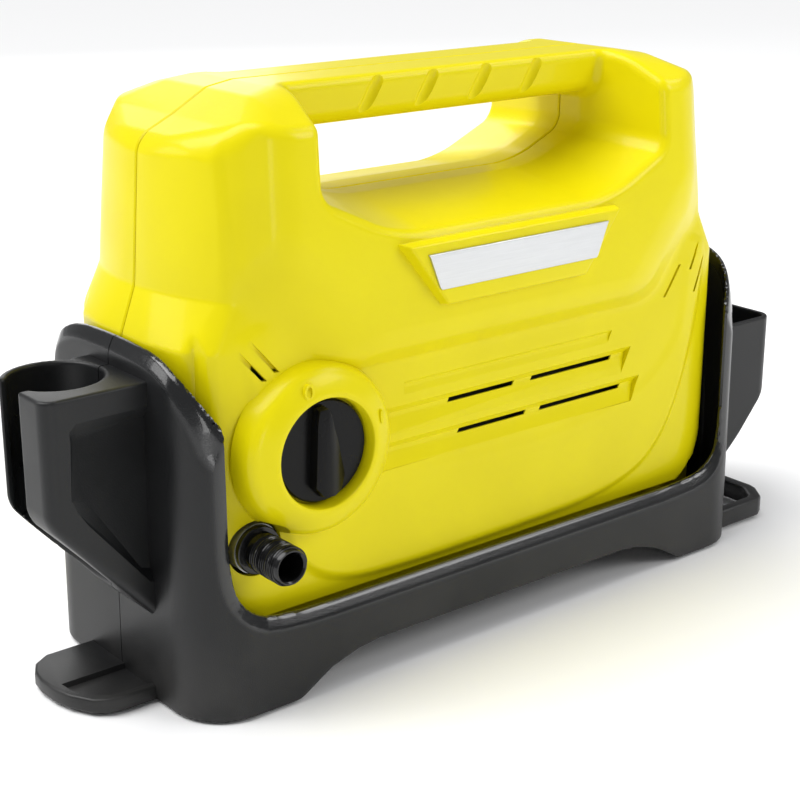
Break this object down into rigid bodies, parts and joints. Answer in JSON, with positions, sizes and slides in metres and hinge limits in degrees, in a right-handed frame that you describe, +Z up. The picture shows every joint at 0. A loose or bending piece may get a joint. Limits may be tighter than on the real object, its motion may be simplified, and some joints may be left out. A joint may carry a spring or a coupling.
{
  "type": "pressure washer",
  "caption": "Compact electric pressure washer: handled casing in a cradle with gun cup, lance pocket, dial switch, outlet and inlet stubs, motor and swash-plate pump.",
  "frame": {"origin": "on the ground under the middle of the machine's overall box", "axes": "+X right along the length, control side faces -Y, +Z up"},
  "size_m": [0.464, 0.176, 0.28],
  "materials": {
    "casing_yellow": "glossy moulded plastic",
    "cradle_black": "satin, fine moulded grain",
    "knob_black": "satin black",
    "fitting_black": "glossy black glass-filled plastic",
    "plate_silver": "brushed sheet",
    "foot_rubber": "matte rubber",
    "screw_steel": "zinc-plated steel",
    "inner_black": "unpolished moulded plastic",
    "inner_grey": "glass-filled plastic",
    "cast_alloy": "die-cast",
    "core_steel": "stamped laminations",
    "shaft_steel": "ground steel",
    "winding_copper": "enamelled copper wire",
    "commutator_copper": "turned copper bars",
    "brush_carbon": "pressed carbon",
    "gear_plastic": "natural acetal",
    "seal_rubber": "nitrile rubber",
    "spring_steel": "spring wire",
    "switch_grey": "moulded plastic",
    "capacitor_blue": "potted case"
  },
  "bodies": {
    "root": {"front_shell": "casing_yellow", "rear_shell": "casing_yellow", "cradle_front": "cradle_black", "cradle_rear": "cradle_black", "gun_holster_front": "cradle_black", "gun_holster_rear": "cradle_black", "lance_holster_front": "cradle_black", "lance_holster_rear": "cradle_black", "side_tongue": "cradle_black", "hose_loop": "cradle_black", "foot_pads": "foot_rubber", "rotary_switch": "switch_grey", "name_plate": "plate_silver", "air_baffle": "inner_black", "motor_housing": "inner_black", "front_bearing": "shaft_steel", "rear_bearing": "shaft_steel", "stator_core": "core_steel", "field_coils": "winding_copper", "brush_holders": "inner_grey", "carbon_brushes": "brush_carbon", "gearbox_housing": "inner_grey", "cylinder_block": "inner_grey", "piston_seals": "seal_rubber", "check_valves": "gear_plastic", "pump_head": "inner_grey", "valve_cover": "cast_alloy", "head_screws": "screw_steel", "piston_spring_1": "spring_steel", "piston_spring_2": "spring_steel", "piston_spring_3": "spring_steel", "outlet_stub": "fitting_black", "inlet_stub": "fitting_black", "inlet_strainer": "gear_plastic", "cord_gland": "seal_rubber", "pressure_switch": "switch_grey", "capacitor": "capacitor_blue", "terminal_block": "gear_plastic", "drive_saddles": "inner_black", "saddle_liners": "seal_rubber", "shell_screws": "screw_steel", "cradle_screws": "screw_steel"},
    "dial": {"dial_knob": "knob_black", "switch_shaft": "gear_plastic"},
    "rotor": {"motor_shaft": "shaft_steel", "armature_core": "core_steel", "armature_winding": "winding_copper", "commutator": "commutator_copper", "cooling_fan": "inner_black", "pinion": "shaft_steel"},
    "pump_drive": {"pump_shaft": "shaft_steel", "gear_wheel": "gear_plastic", "swash_plate": "cast_alloy", "thrust_bearing": "shaft_steel"},
    "piston_a": {"piston_1": "shaft_steel"},
    "piston_b": {"piston_2": "shaft_steel"},
    "piston_c": {"piston_3": "shaft_steel"},
    "plunger": {"switch_plunger": "gear_plastic"}
  },
  "joints": [
    {"name": "dial_turn", "type": "hinge", "parent": "root", "child": "dial", "pos_m": [-0.114, -0.07, 0.121], "axis": [0, 1, 0], "range_deg": [0, 90]},
    {"name": "rotor_spin", "type": "hinge", "parent": "root", "child": "rotor", "pos_m": [0, 0, 0.122], "axis": [1, 0, 0], "continuous": true},
    {"name": "pump_spin", "type": "hinge", "parent": "root", "child": "pump_drive", "pos_m": [-0.06, 0, 0.092], "axis": [1, 0, 0], "continuous": true},
    {"name": "piston_a_stroke", "type": "slide", "parent": "root", "child": "piston_a", "axis": [-1, 0, 0], "range_m": [0, 0.0045], "stiffness_N_per_m": 900, "deforming": ["piston_spring_1"]},
    {"name": "piston_b_stroke", "type": "slide", "parent": "root", "child": "piston_b", "axis": [-1, 0, 0], "range_m": [0, 0.0045], "stiffness_N_per_m": 900, "deforming": ["piston_spring_2"]},
    {"name": "piston_c_stroke", "type": "slide", "parent": "root", "child": "piston_c", "axis": [-1, 0, 0], "range_m": [0, 0.0045], "stiffness_N_per_m": 900, "deforming": ["piston_spring_3"]},
    {"name": "plunger_lift", "type": "slide", "parent": "root", "child": "plunger", "axis": [0, 0, 1], "range_m": [0, 0.002], "stiffness_N_per_m": 200}
  ],
  "couplings": [
    {"joint": "pump_spin", "follows": "rotor_spin", "ratio": -0.2973}
  ]
}
